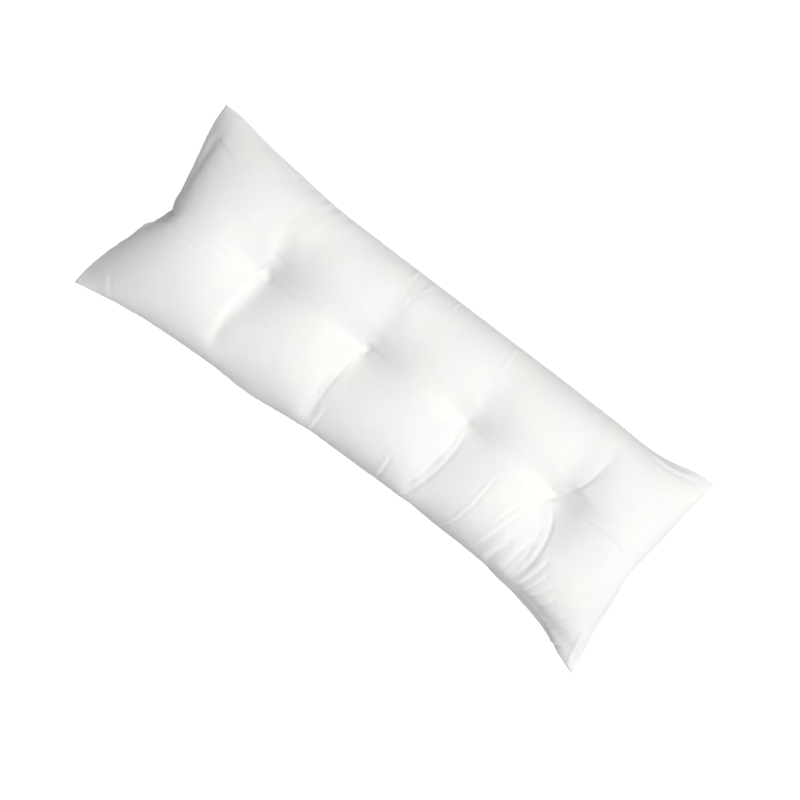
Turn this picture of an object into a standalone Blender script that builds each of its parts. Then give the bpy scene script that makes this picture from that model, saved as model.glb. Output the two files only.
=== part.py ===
"""A tufted body pillow, lying on its back.

Two white cotton panels are sewn together all round, turned and filled with loose fibre. Four thread tufts on
the long middle line pull the panels together and divide the filling into five crowned bays. A crease runs
from each tuft to both long seams, the sides and ends are drawn in between four pointed corners, and the
weight of the filling flattens the underside where it rests.

+X runs along the pillow, +Y across it and +Z up. The origin is under the middle of its bounding box.
Everything is in metres.
"""

import math

import bmesh
import bpy
import numpy as np

# The width that both panels are cut to, and the length between the corners of the pillow once it is filled.
CUT_WIDTH = 0.508
FILLED_LENGTH = 1.348

# The corners' height above the surface that it lies on, and how far the top rises and the underside drops
# from the seam.
CORNER_HEIGHT = 0.016
CROWN_RISE = 0.102
UNDERSIDE_DROP = 0.082

# How full a section across the pillow is: more is squarer. It is fuller where the sides are drawn in further,
# because the panels have one width all along, and the underside is fuller than the top.
LEAST_FULLNESS = 1.8
FULLNESS_PER_METRE_DRAWN_IN = 55.0
UNDERSIDE_FULLNESS = 2.3
END_FULLNESS = 4.9

# How upright the panels stand at the seam: 1 is a plain slope, and less is more upright.
TOP_SLOPE = 0.63
UNDERSIDE_SLOPE = 0.39
END_SLOPE = 0.45

# The corners of an end bay are lower by this share of its rise, and a higher focus keeps them nearer to the
# long seams.
CORNER_FALL = 0.53
CORNER_FOCUS = 4

# Facets: columns of each bay and rows from the near long seam to the far one, and how far they crowd
# together beside the creases and the seams, from 0 for evenly spaced.
BAY_COLUMNS = 14
COLUMN_CROWDING = 0.5
ROWS = 28
ROW_CROWDING = 0.6

# The two long seams. near is the -Y seam and far is the +Y one, each as its distance from the X axis at that
# station along the pillow, and its height.
LONG_SEAMS = [
    # station, near, far, near_height, far_height
    (-0.674, 0.246, 0.240, 0.016, 0.016),
    (-0.610, 0.237, 0.239, 0.037, 0.038),
    (-0.530, 0.222, 0.228, 0.054, 0.056),
    (-0.440, 0.212, 0.220, 0.062, 0.064),
    (-0.350, 0.207, 0.214, 0.067, 0.068),
    (-0.250, 0.206, 0.214, 0.069, 0.070),
    (-0.120, 0.193, 0.216, 0.068, 0.071),
    (0.000, 0.185, 0.217, 0.066, 0.072),
    (0.150, 0.182, 0.218, 0.063, 0.071),
    (0.300, 0.183, 0.221, 0.059, 0.069),
    (0.420, 0.189, 0.223, 0.054, 0.066),
    (0.500, 0.198, 0.222, 0.048, 0.058),
    (0.560, 0.213, 0.227, 0.041, 0.046),
    (0.610, 0.229, 0.240, 0.030, 0.034),
    (0.674, 0.250, 0.251, 0.016, 0.016),
]

# The two end seams: how far each is drawn in from the corners, at a share of the way from the near corner
# to the far one, and the height of both.
END_SEAMS = [
    # share, left, right, height
    (0.00, 0.000, 0.000, 0.016),
    (0.07, 0.008, 0.008, 0.020),
    (0.14, 0.017, 0.018, 0.027),
    (0.30, 0.037, 0.034, 0.040),
    (0.38, 0.044, 0.041, 0.045),
    (0.45, 0.066, 0.045, 0.046),
    (0.51, 0.064, 0.045, 0.046),
    (0.62, 0.055, 0.038, 0.045),
    (0.75, 0.043, 0.028, 0.038),
    (0.88, 0.029, 0.018, 0.026),
    (1.00, 0.021, 0.004, 0.016),
]

# The four tufts and the creases that cross them, as places along X. The feet are where a crease meets the
# two long seams, and the middles are halfway to them from its tuft. tuft_across is from -1 on the near seam
# to 1 on the far one. The levels are what is left of the crown, at the tuft and where the crease runs out.
CREASES = [
    # near_foot, near_middle, tuft_x, tuft_across, far_middle, far_foot, tuft_level, near_level, far_level
    (-0.361, -0.395, -0.379, 0.033, -0.406, -0.414, 0.32, 0.95, 0.99),
    (-0.117, -0.141, -0.118, 0.046, -0.107, -0.125, 0.45, 0.90, 1.00),
    (0.120, 0.140, 0.147, 0.050, 0.159, 0.139, 0.50, 0.93, 1.00),
    (0.413, 0.408, 0.383, 0.016, 0.421, 0.387, 0.33, 0.91, 0.93),
]
CREASE_SHARPNESS = 1.5
CREASE_REACH = 0.25
UNDERSIDE_TUFT_LEVEL = 0.30

# The five bays, from the -X end: how full each is beside the others.
BAY_FULLNESS = [0.93, 0.99, 1.10, 1.01, 1.01]

COVER_COLOUR = (0.87, 0.88, 0.89, 1.0)
COVER_ROUGHNESS = 0.9


def clear_scene():
    for obj in list(bpy.data.objects):
        bpy.data.objects.remove(obj, do_unlink=True)


def curve_through(rows, column):
    """A smooth curve through one column of a table, as a function of the table's first column."""
    places = np.array([row[0] for row in rows])
    values = np.array([row[column] for row in rows])
    slopes = np.gradient(values, places)

    def at(place):
        i = np.clip(np.searchsorted(places, place) - 1, 0, len(places) - 2)
        gap = places[i + 1] - places[i]
        t = np.clip((place - places[i]) / gap, 0.0, 1.0)
        return (
            (1 + 2 * t) * (1 - t) ** 2 * values[i]
            + t * (1 - t) ** 2 * gap * slopes[i]
            + t * t * (3 - 2 * t) * values[i + 1]
            - t * t * (1 - t) * gap * slopes[i + 1]
        )

    return at


def crown(distance, fullness, slope):
    """A section's height, from 1 in its middle to 0 at a distance of 1."""
    return (1 - min(abs(distance), 1.0) ** fullness) ** slope


def blend(a, b, share):
    return a + (b - a) * share


def crease_place(row, across):
    """Where a crease lies along X, on a curve from its tuft through a middle to a foot."""
    near_foot, near_middle, tuft_x, tuft_across, far_middle, far_foot = row[:6]
    if across < tuft_across:
        middle, foot, reach = near_middle, near_foot, (tuft_across - across) / (tuft_across + 1)
    else:
        middle, foot, reach = far_middle, far_foot, (across - tuft_across) / (1 - tuft_across)
    return (
        tuft_x * (1 - reach) * (1 - 2 * reach)
        + middle * 4 * reach * (1 - reach)
        + foot * reach * (2 * reach - 1)
    )


def crease_level(row, across, tuft_level):
    """What is left of the crown on a crease, rising from its tuft towards the seams."""
    tuft_across, near_level, far_level = row[3], row[7], row[8]
    run_out = near_level if across < tuft_across else far_level
    reach = 1 - math.exp(-abs(across - tuft_across) / CREASE_REACH)
    return blend(tuft_level, run_out, reach)


class Pillow:
    def __init__(self):
        self.near, self.far, self.near_height, self.far_height = (
            curve_through(LONG_SEAMS, column) for column in (1, 2, 3, 4)
        )
        self.left, self.right, self.end_height = (curve_through(END_SEAMS, column) for column in (1, 2, 3))

    def border(self, number, across):
        """The X of the line before bay number: an end seam, or a crease."""
        share = (across + 1) / 2
        if number == 0:
            return -FILLED_LENGTH / 2 + float(self.left(share))
        if number == len(BAY_FULLNESS):
            return FILLED_LENGTH / 2 - float(self.right(share))
        return crease_place(CREASES[number - 1], across)

    def station(self, bay, along, across):
        """The X at along from 0 to 1 in a bay and across from -1 to 1."""
        return blend(self.border(bay, across), self.border(bay + 1, across), along)

    def plan(self, bay, along, across):
        """The X and Y of the same place."""
        near = -float(self.near(self.station(bay, along, -1.0)))
        far = float(self.far(self.station(bay, along, 1.0)))
        return self.station(bay, along, across), blend(near, far, (across + 1) / 2)

    def seam_height(self, bay, along, across):
        """The height of the seams around this place, carried in over the whole panel."""
        share = (across + 1) / 2
        near = float(self.near_height(self.station(bay, along, -1.0)))
        far = float(self.far_height(self.station(bay, along, 1.0)))
        end = float(self.end_height(share)) - CORNER_HEIGHT
        if bay == 0:
            end *= (1 - along) ** 2
        elif bay == len(BAY_FULLNESS) - 1:
            end *= along**2
        else:
            end = 0.0
        return blend(near, far, share) + end

    def shape(self, bay, along, across, under):
        """How much of the full rise or drop is left here: 1 on the crown of a bay, 0 at a seam."""
        across_fullness = self.across_fullness(bay, along, across, under)
        full = crown(across, across_fullness, UNDERSIDE_SLOPE if under else TOP_SLOPE)
        full *= self.bay_fullness(bay, along)
        to_left = abs(min(2 * along - 1, 0.0))
        to_right = max(2 * along - 1, 0.0)
        for number, nearness in ((bay, to_left), (bay + 1, to_right)):
            if number == 0:
                full *= self.end_rise(along, across)
            elif number == len(BAY_FULLNESS):
                full *= self.end_rise(1 - along, across)
            else:
                row = CREASES[number - 1]
                level = crease_level(row, across, UNDERSIDE_TUFT_LEVEL if under else row[6])
                full *= 1 - (1 - level) * nearness**CREASE_SHARPNESS
        return full

    def end_rise(self, inward, across):
        """The rise from an end seam, where inward is 0, over an end bay, with the corners lower."""
        corner_fall = CORNER_FALL * (1 - inward) * across**CORNER_FOCUS
        return crown(1 - inward, END_FULLNESS, END_SLOPE) * (1 - corner_fall)

    def across_fullness(self, bay, along, across, under):
        """How full the section across the pillow is here."""
        side = self.plan(bay, along, math.copysign(1.0, across))[1]
        drawn_in = max(CUT_WIDTH / 2 - abs(side), 0.0)
        more = UNDERSIDE_FULLNESS if under else 0.0
        return LEAST_FULLNESS + FULLNESS_PER_METRE_DRAWN_IN * drawn_in + more

    def bay_fullness(self, bay, along):
        """The bay's own fullness, blended with its neighbour's at their crease."""
        here = BAY_FULLNESS[bay]
        neighbour = bay + 1 if along > 0.5 else bay - 1
        beside = BAY_FULLNESS[min(max(neighbour, 0), len(BAY_FULLNESS) - 1)]
        return blend(here, (here + beside) / 2, abs(2 * along - 1))

    def point(self, bay, along, across, under):
        x, y = self.plan(bay, along, across)
        base = self.seam_height(bay, along, across)
        full = self.shape(bay, along, across, under)
        if under:
            return x, y, max(0.0, base - UNDERSIDE_DROP * full)
        return x, y, base + CROWN_RISE * full


def stations():
    """Each column's bay and place in it, closer together beside the creases."""
    places = []
    for bay in range(len(BAY_FULLNESS)):
        for column in range(BAY_COLUMNS):
            even = column / BAY_COLUMNS
            eased = 0.5 - 0.5 * math.cos(math.pi * even)
            places.append((bay, blend(even, eased, COLUMN_CROWDING)))
    places.append((len(BAY_FULLNESS) - 1, 1.0))
    return places


def rows_across():
    """Each row's place from -1 to 1, closer together beside the long seams."""
    even = [-1 + 2 * row / ROWS for row in range(ROWS + 1)]
    return [blend(place, math.sin(place * math.pi / 2), ROW_CROWDING) for place in even]


def split_corner_facets(panel):
    """Splits each corner's facet from the corner inwards, so that the two panels stay apart in it."""
    for corner in [vertex for vertex in panel if len(vertex.link_faces) == 1]:
        facet = corner.link_faces[0]
        beside = {edge.other_vert(corner) for edge in corner.link_edges}
        opposite = next(v for v in facet.verts if v is not corner and v not in beside)
        bmesh.utils.face_split(facet, corner, opposite)


def sewn_panels(pillow):
    """The top and bottom panels as grids, the bottom one facing down, joined along the seam."""
    mesh = bmesh.new()
    columns = stations()
    across = rows_across()
    for under in (True, False):
        start = len(mesh.verts)
        bmesh.ops.create_grid(mesh, x_segments=len(columns) - 1, y_segments=ROWS, size=0.5)
        mesh.verts.ensure_lookup_table()
        for number, vertex in enumerate(mesh.verts[start:]):
            row, column = divmod(number, len(columns))
            vertex.co = pillow.point(*columns[column], across[row], under)
        if under:
            bmesh.ops.reverse_faces(mesh, faces=mesh.faces)
        split_corner_facets(mesh.verts[start:])
    bmesh.ops.remove_doubles(mesh, verts=[v for v in mesh.verts if v.is_boundary], dist=1e-6)
    return mesh


def centre_on_bounding_box(mesh):
    """Moves the middle of the mesh's bounding box over the origin, leaving its height."""
    middle = [
        (min(v.co[axis] for v in mesh.verts) + max(v.co[axis] for v in mesh.verts)) / 2
        for axis in (0, 1)
    ]
    bmesh.ops.translate(mesh, verts=mesh.verts, vec=(-middle[0], -middle[1], 0.0))


def cotton():
    material = bpy.data.materials.new("white_cotton")
    material.use_nodes = True
    shader = material.node_tree.nodes["Principled BSDF"]
    shader.inputs["Base Color"].default_value = COVER_COLOUR
    shader.inputs["Roughness"].default_value = COVER_ROUGHNESS
    shader.inputs["Metallic"].default_value = 0.0
    material.diffuse_color = COVER_COLOUR
    return material


def main():
    clear_scene()
    collection = bpy.data.collections.new("body_pillow")
    bpy.context.scene.collection.children.link(collection)
    grids = sewn_panels(Pillow())
    centre_on_bounding_box(grids)
    mesh = bpy.data.meshes.new("pillow")
    grids.to_mesh(mesh)
    grids.free()
    mesh.shade_smooth()
    mesh.materials.append(cotton())
    collection.objects.link(bpy.data.objects.new("pillow", mesh))


main()
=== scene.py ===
"""Looks of the body pillow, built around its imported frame.

Two white cotton panels are cut flat, sewn together all round and filled. A cloth simulation pushes them
apart, holds them together at the four thread tufts and along their creases, and lets the pillow settle on
the surface that it lies on. Folds, gathers and the seam line are then pressed into the finer mesh, and the
threads of the tufts and of the closed opening are laid on top.

The pillow lies along X, with its near long seam at -Y. Lengths are in metres, unless a comment says
millimetres.
"""

import math
from collections import namedtuple

import bmesh
import bpy
import numpy as np
from bpy.props import FloatProperty, FloatVectorProperty, IntProperty, PointerProperty
from mathutils import Matrix, Vector
from mathutils.bvhtree import BVHTree


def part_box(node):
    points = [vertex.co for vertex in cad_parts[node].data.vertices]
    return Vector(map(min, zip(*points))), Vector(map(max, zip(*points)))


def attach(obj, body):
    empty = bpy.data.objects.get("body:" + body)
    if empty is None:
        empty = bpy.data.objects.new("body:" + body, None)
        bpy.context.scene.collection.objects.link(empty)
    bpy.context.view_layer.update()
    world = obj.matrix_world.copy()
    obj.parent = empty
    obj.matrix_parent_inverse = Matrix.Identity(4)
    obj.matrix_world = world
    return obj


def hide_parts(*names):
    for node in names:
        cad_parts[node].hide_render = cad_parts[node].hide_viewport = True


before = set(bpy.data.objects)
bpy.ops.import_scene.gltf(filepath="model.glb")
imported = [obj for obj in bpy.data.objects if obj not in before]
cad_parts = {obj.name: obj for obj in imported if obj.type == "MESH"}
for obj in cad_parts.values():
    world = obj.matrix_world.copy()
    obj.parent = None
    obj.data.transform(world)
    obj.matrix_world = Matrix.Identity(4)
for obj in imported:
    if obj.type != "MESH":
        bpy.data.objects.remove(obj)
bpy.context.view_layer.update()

CAD_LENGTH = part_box("pillow")[1].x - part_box("pillow")[0].x

bl_info = {
    "name": "Tufted Body Pillow",
    "version": (1, 0, 0),
    "blender": (4, 5, 0),
    "location": "3D View > Sidebar > Pillow",
    "description": "A filled cotton body pillow with thread tufts, on a plain studio floor",
    "category": "Object",
}

MM = 0.001
TINY = 1e-12
ALL = slice(None)

# ---------------------------------------------------------------------------------------------------------
# The pillow as it is sewn

# The two long seams of the filled pillow: how far each lies from the X axis, and its height.
LONG_SEAMS = [
    # station, near, far, near_height, far_height
    (-0.674, 0.246, 0.240, 0.016, 0.016),
    (-0.610, 0.230, 0.241, 0.038, 0.038),
    (-0.530, 0.217, 0.229, 0.056, 0.056),
    (-0.440, 0.209, 0.222, 0.064, 0.064),
    (-0.350, 0.204, 0.214, 0.068, 0.068),
    (-0.250, 0.205, 0.214, 0.069, 0.070),
    (-0.120, 0.187, 0.216, 0.068, 0.071),
    (0.000, 0.180, 0.218, 0.066, 0.072),
    (0.150, 0.175, 0.221, 0.063, 0.071),
    (0.300, 0.176, 0.224, 0.059, 0.069),
    (0.420, 0.181, 0.225, 0.054, 0.066),
    (0.500, 0.191, 0.224, 0.048, 0.058),
    (0.560, 0.207, 0.232, 0.041, 0.046),
    (0.610, 0.233, 0.249, 0.030, 0.034),
    (0.674, 0.258, 0.252, 0.016, 0.016),
]

# The two end seams: how far each is drawn in from the corners, at a share of the way to the far corner, and
# the height of both.
END_SEAMS = [
    # share, left, right, height
    (0.00, 0.000, -0.006, 0.016),
    (0.06, 0.001, 0.002, 0.018),
    (0.14, 0.008, 0.013, 0.026),
    (0.22, 0.018, 0.026, 0.035),
    (0.30, 0.033, 0.034, 0.042),
    (0.36, 0.037, 0.037, 0.045),
    (0.40, 0.036, 0.041, 0.045),
    (0.43, 0.066, 0.049, 0.045),
    (0.45, 0.104, 0.051, 0.045),
    (0.49, 0.092, 0.051, 0.046),
    (0.54, 0.074, 0.048, 0.046),
    (0.62, 0.059, 0.041, 0.045),
    (0.75, 0.042, 0.029, 0.038),
    (0.88, 0.026, 0.018, 0.025),
    (1.00, 0.021, 0.003, 0.016),
]

# The four tufts and the creases through them, as places along the cut cloth from its middle. The levels are
# the share of the free thickness that a crease leaves, at its tuft and at its two feet, and tuft_gap is
# what the thread leaves between the panels.
Crease = namedtuple(
    "Crease",
    "near_foot near_middle tuft tuft_across far_middle far_foot tuft_level near_level far_level tuft_gap",
)
CREASES = [
    Crease(-0.368, -0.392, -0.384, 0.006, -0.419, -0.436, 0.38, 0.95, 1.08, 0.050),
    Crease(-0.114, -0.145, -0.125, 0.009, -0.116, -0.140, 0.52, 0.97, 1.28, 0.074),
    Crease(0.108, 0.131, 0.141, 0.012, 0.150, 0.132, 0.54, 0.96, 1.18, 0.076),
    Crease(0.402, 0.407, 0.375, 0.009, 0.419, 0.389, 0.42, 0.88, 1.00, 0.054),
]

# Folds pressed into the top panel, each along a curve through three places on the cut cloth. A fold is a
# ridge of that width and height with a hollow beside it, on its +X side, or on its -Y side if it runs along
# X. With a negative height it is a groove, whose other side is the steep one. All in millimetres. The bays
# and creases are counted from the left.
Fold = namedtuple("Fold", "start_along start_across along across end_along end_across width height hollow")
FOLDS = [
    # the notch in the left end, and the folds that run from it
    Fold(-700, -30, -660, -27, -610, -22, 8, -3.0, 0.0),
    Fold(-612, -18, -574, -14, -500, -8, 7, 1.8, 1.6),
    Fold(-604, -28, -560, -26, -470, -24, 6, 1.4, 1.4),
    Fold(-560, -4, -500, -2, -430, 2, 5, 0.9, 0.8),
    # the wide hollows to the right of the tufts
    Fold(-412, 110, -378, 0, -384, -150, 34, -6.0, 0.0),
    Fold(-122, 30, -124, 0, -130, -45, 20, -2.0, 0.0),
    Fold(162, 45, 156, 10, 152, -35, 22, -2.0, 0.0),
    Fold(406, 60, 404, -10, 426, -116, 42, -8.5, 0.0),
    # the fuller cloth to the left of the tufts
    Fold(-438, 100, -414, 20, -414, -60, 24, 2.5, 0.0),
    Fold(-142, 80, -150, 4, -166, -90, 26, 3.0, 0.0),
    Fold(128, 80, 114, 8, 108, -90, 26, 3.0, 0.0),
    Fold(360, 80, 346, 4, 362, -90, 26, 3.5, 0.0),
    # the fuller cloth to the right of the far halves of creases 1 and 2
    Fold(-372, 50, -374, 100, -380, 190, 26, 3.0, 0.0),
    Fold(-116, 36, -104, 104, -116, 196, 34, 4.0, 0.0),
    # the drawn-in cloth beside the near seam at the right, and beside the left end
    Fold(330, -148, 545, -148, 760, -162, 54, 0.0, 7.5),
    Fold(-702, 30, -700, 110, -694, 210, 30, 0.0, 7.0),
    # along the axis, from the tufts to the right
    Fold(-384, 2, -336, 1, -287, 6, 9, -2.2, 0.0),
    Fold(-310, 4, -252, 13, -190, 22, 8, -1.3, 0.0),
    Fold(-138, 4, -106, 14, -62, 12, 5, -2.6, 0.0),
    Fold(142, 12, 170, 8, 206, 12, 5, -2.2, 0.0),
    Fold(438, 14, 512, 22, 596, 12, 6, 1.0, 1.8),
    # the near halves of creases 1 to 3
    Fold(-382, -2, -392, -88, -370, -206, 21, -5.0, 0.0),
    Fold(-140, -20, -146, -96, -138, -200, 5, 1.3, 1.6),
    Fold(-118, -146, -118, -178, -112, -240, 5, 1.2, 1.8),
    Fold(134, 0, 138, -88, 108, -258, 6, 2.4, 2.4),
    Fold(128, -30, 122, -92, 104, -172, 4, 1.5, 1.4),
    # at the near seam between creases 2 and 3
    Fold(42, -138, 50, -172, 62, -240, 5, 1.4, 2.2),
    # across bay 4
    Fold(242, -30, 240, -120, 230, -262, 4, 1.5, 2.0),
    Fold(334, -50, 314, -112, 304, -190, 7, 2.0, 2.4),
    Fold(324, -40, 306, -80, 296, -126, 5, 1.2, 1.4),
    Fold(350, -112, 338, -160, 344, -228, 10, 2.4, 3.4),
    Fold(384, -90, 376, -140, 380, -214, 9, 1.6, 2.6),
    # the near half of crease 4 and the pleats that run into it
    Fold(368, -4, 406, -80, 408, -204, 8, 2.6, 3.4),
    Fold(378, -60, 397, -104, 400, -190, 4, 1.1, 0.8),
    Fold(440, -96, 436, -146, 428, -226, 6, 1.6, 2.4),
    Fold(464, -122, 456, -158, 450, -226, 4, 1.0, 1.5),
    Fold(488, -132, 474, -168, 464, -230, 6, 1.3, 2.0),
    Fold(508, -150, 500, -184, 488, -240, 7, 0.8, 2.0),
    Fold(556, -170, 543, -196, 530, -246, 6, 0.6, 1.6),
    Fold(590, -182, 578, -206, 576, -252, 5, 0.5, 1.2),
    # the fold that runs out to the near right corner
    Fold(606, -150, 637, -204, 664, -256, 6, 2.6, 1.8),
    # the cloth drawn in where the opening in the right end seam is closed
    Fold(612, -180, 604, -70, 612, 40, 26, 0.0, 2.6),
    Fold(680, -98, 680, -70, 680, -42, 5, -2.4, 0.0),
    # the far half of crease 4 beside its tuft
    Fold(350, -34, 403, 50, 416, 150, 5, -2.6, 0.0),
    # gathers and puckers of the far seam and of the corners
    Fold(-508, 246, -490, 232, -462, 222, 6, 2.0, 2.0),
    Fold(-640, -196, -622, -214, -608, -250, 8, 0.5, 0.7),
    Fold(-646, 186, -602, 168, -560, 154, 6, 1.0, 1.0),
    Fold(-146, 190, -142, 216, -136, 248, 4, 1.0, 1.0),
    Fold(-115, 165, -106, 190, -98, 215, 4, 1.0, 1.0),
    Fold(-38, 184, -32, 214, -26, 250, 4, 1.2, 1.4),
    Fold(-22, 198, -18, 222, -12, 252, 3, 0.8, 1.0),
    Fold(128, 225, 124, 190, 122, 140, 5, 1.2, 1.2),
    Fold(500, 236, 560, 228, 660, 246, 7, 1.6, 1.0),
    Fold(548, 160, 580, 166, 618, 176, 5, 1.0, 1.0),
]

# How strong the gathers of the two long seams are. The near seam's grow towards the right, where the photo
# has most of them.
GATHER_STRENGTH = [
    # station, near, far
    (-0.686, 0.7, 0.60),
    (-0.420, 0.7, 0.80),
    (-0.100, 1.0, 0.80),
    (0.100, 1.3, 0.80),
    (0.300, 2.0, 0.70),
    (0.520, 2.6, 0.70),
    (0.686, 1.2, 0.80),
]

# ---------------------------------------------------------------------------------------------------------
# How the simulation works

# Each panel's grid, and the steps in which it fills. Each step pulls the cloth into shape that many times.
GRID_COLUMNS = 172
GRID_ROWS = 64
STEPS = 330
PASSES = 4
TIME_STEP = 0.004
DRAG = 0.97
SPEED_LIMIT = 1.5

# The cloth's weight, and how firmly it holds its shape, where 1 is the hold of its threads. The weights of
# cloth and filling are about a twentieth of the real ones.
SHEAR_STIFFNESS = 0.15
BENDING_STIFFNESS = 0.01
CLOTH_DENSITY = 0.25
GRAVITY = 9.81 * 0.05

# The filling's weight on the bottom panel, and its pressure, which fades over the last share of its volume.
FILLING_WEIGHT = 1.1
MOST_PRESSURE = 20.0
PRESSURE_BAND = 0.04

# How firmly the seams are drawn to the outline and the creases squeezed, and the least gap inside the seams.
SEAM_PULL = 0.1
SQUEEZE = 0.3
LEAST_GAP = 0.002

# The free thickness of the pillow on its axis, and how squarely it falls towards the long seams.
FREE_GAP = 0.170
FREE_GAP_SQUARENESS = 2.5

# A crease has a flat floor, which is a share of its width, and sloping sides. Its reach is the share of the
# half width over which it rises from its tuft's level.
TUFT_RADIUS = 0.011
CREASE_WIDTH = 0.0072
CREASE_FLOOR = 0.4
CREASE_SLOPE = 0.6
CREASE_REACH = 0.22

# The crown that each panel starts with, and how square it is along and across the pillow.
START_CROWN = 0.085
CROWN_SQUARENESS = (6, 2.2)
CROWN_FULLNESS = 0.6

# The shares of the half width over which the cloth beside the long seams is calmed, and of the half length
# over which the bottom panel's evening out ends.
CALM_BAND = (0.5, 0.7)
EVEN_PASSES = 12
EVEN_ENDS = (0.8, 0.9)

# The finer mesh, whose rows and columns crowd together towards the seams.
FINE_COLUMNS = 440
FINE_ROWS = 160
ROW_CROWDING = 0.5
COLUMN_CROWDING = 0.3

# ---------------------------------------------------------------------------------------------------------
# How folds, gathers and lumps are pressed in, in millimetres

# A fold's curve is followed in straight pieces, out to a margin of that many widths. Its hollow's place and
# width are in widths too, and it fades in and out over those shares of its length.
FOLD_PIECES = 32
FOLD_MARGIN = 5
GROOVE_STEEPNESS = 2.2
HOLLOW_PLACE = 1.5
HOLLOW_WIDTH = 0.6
FADE_IN = (0.0, 0.2)
FADE_OUT = (0.7, 1.0)

# The gathers, each drawn from these ranges. A margin at the corners has none. In the bottom panel they reach
# only that share as far.
GATHER_SEED = 5
GATHER_MARGIN = 40.0
GATHER_SPACING = (5.0, 19.0)
GATHER_WIDTH = (2.2, 5.0)
GATHER_REACH = (8.0, 34.0)
GATHER_HEIGHT = (0.15, 0.9)
GATHER_LEAN = (-0.35, 0.35)
UNDER_REACH = (0.4, 1.0)

# The groove where the panels meet, and the fuller cloth beside it.
SEAM_DEPTH = 0.8
SEAM_WIDTH = 1.8
SWELL_HEIGHT = 0.7
SWELL_PLACE = 5.0
SWELL_WIDTH = 2.6

# The pinch in the middle of a tuft, and the wrinkles that fan out from it, each drawn from these ranges.
PINCH_DEPTH = 3.0
PINCH_RADIUS = 5.0
TUFT_WRINKLES = 9
WRINKLE_TURN = (-0.25, 0.25)
WRINKLE_LENGTH = (16.0, 46.0)
WRINKLE_WIDTH = (2.4, 4.2)
WRINKLE_HEIGHT = (-0.9, 0.7)
WRINKLE_START = (2.0, 10.0)

# The unevenness of the filling and of the cloth, as heights and sizes of lumps, which fade out beside the
# seams.
LUMP_SEED = 11
LUMPS = ((1.0, 85.0), (0.5, 38.0))
CLOTH_LUMPS = (0.22, 16.0)
LUMPLESS_EDGE = 25.0


def curve_through(rows, column):
    """A smooth curve through one column of a table, as a function of the table's first column."""
    places = np.array([row[0] for row in rows])
    values = np.array([row[column] for row in rows])
    slopes = np.gradient(values, places)

    def at(place):
        i = np.clip(np.searchsorted(places, place) - 1, 0, len(places) - 2)
        gap = places[i + 1] - places[i]
        t = np.clip((place - places[i]) / gap, 0.0, 1.0)
        return (
            (1 + 2 * t) * (1 - t) ** 2 * values[i]
            + t * (1 - t) ** 2 * gap * slopes[i]
            + t * t * (3 - 2 * t) * values[i + 1]
            - t * t * (1 - t) * gap * slopes[i + 1]
        )

    return at


def blend(a, b, share):
    return a + (b - a) * share


def smooth_step(value, low, high):
    share = np.clip((value - low) / (high - low), 0.0, 1.0)
    return share * share * (3 - 2 * share)


def bell(value):
    """A hump that is 1 high in its middle."""
    return np.exp(-(value**2))


def bent(start, middle, end, share):
    """A place on the curve that runs from start to end and passes middle halfway."""
    return (
        start * (1 - share) * (1 - 2 * share)
        + middle * 4 * share * (1 - share)
        + end * share * (2 * share - 1)
    )


def between(values, places, axis):
    """Values at places between the grid lines of one axis, on a smooth curve through their neighbours."""
    values = np.moveaxis(values, axis, 0)
    ends = (2 * values[:1] - values[1:2], values, 2 * values[-1:] - values[-2:-1])
    values = np.concatenate(ends)
    first = np.minimum(places.astype(int), len(values) - 4)
    share = (places - first).reshape(-1, *[1] * (values.ndim - 1))
    a, b, c, d = (values[first + k] for k in range(4))
    found = b + 0.5 * share * (
        c - a + share * (2 * a - 5 * b + 4 * c - d + share * (3 * (b - c) + d - a))
    )
    return np.moveaxis(found, 0, axis)


def crowded(count, crowding):
    """Places from -1 to 1, closer together towards both ends."""
    even = np.linspace(-1, 1, count + 1)
    return blend(even, np.sin(even * math.pi / 2), crowding)


def along_crease(crease, across, half_width):
    """Where a crease lies along the cloth, on a curve from its tuft through its middle to its foot."""
    nearer = across < crease.tuft_across
    foot = np.where(nearer, crease.near_foot, crease.far_foot)
    middle = np.where(nearer, crease.near_middle, crease.far_middle)
    reach = np.where(nearer, -half_width, half_width) - crease.tuft_across
    share = (across - crease.tuft_across) / reach
    return bent(crease.tuft, middle, foot, share)


def outline(along, across):
    """The seams' places, for shares along and across from 0 to 1: near, far, left and right seam."""
    near, far, near_height, far_height = (curve_through(LONG_SEAMS, column) for column in (1, 2, 3, 4))
    left, right, end_height = (curve_through(END_SEAMS, column) for column in (1, 2, 3))
    half = CAD_LENGTH / 2
    near_x = blend(-half + left(0.0), half - right(0.0), along)
    far_x = blend(-half + left(1.0), half - right(1.0), along)
    ends = []
    for side, drawn_in in ((-1, left), (1, right)):
        low, high = -near(side * half), far(side * half)
        x = side * (half - drawn_in(across))
        ends.append(np.stack([x, blend(low, high, across), end_height(across)], -1))
    return [
        np.stack([near_x, -near(near_x), near_height(near_x)], -1),
        np.stack([far_x, far(far_x), far_height(far_x)], -1),
        *ends,
    ]


def paired(count, step):
    """Places along a grid line and the places a step on, in batches that share none."""
    if not step:
        return [(ALL, ALL)]
    return [
        (slice(start, count - step, 2 * step), slice(start + step, count, 2 * step))
        for start in range(2 * step)
    ]


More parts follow.
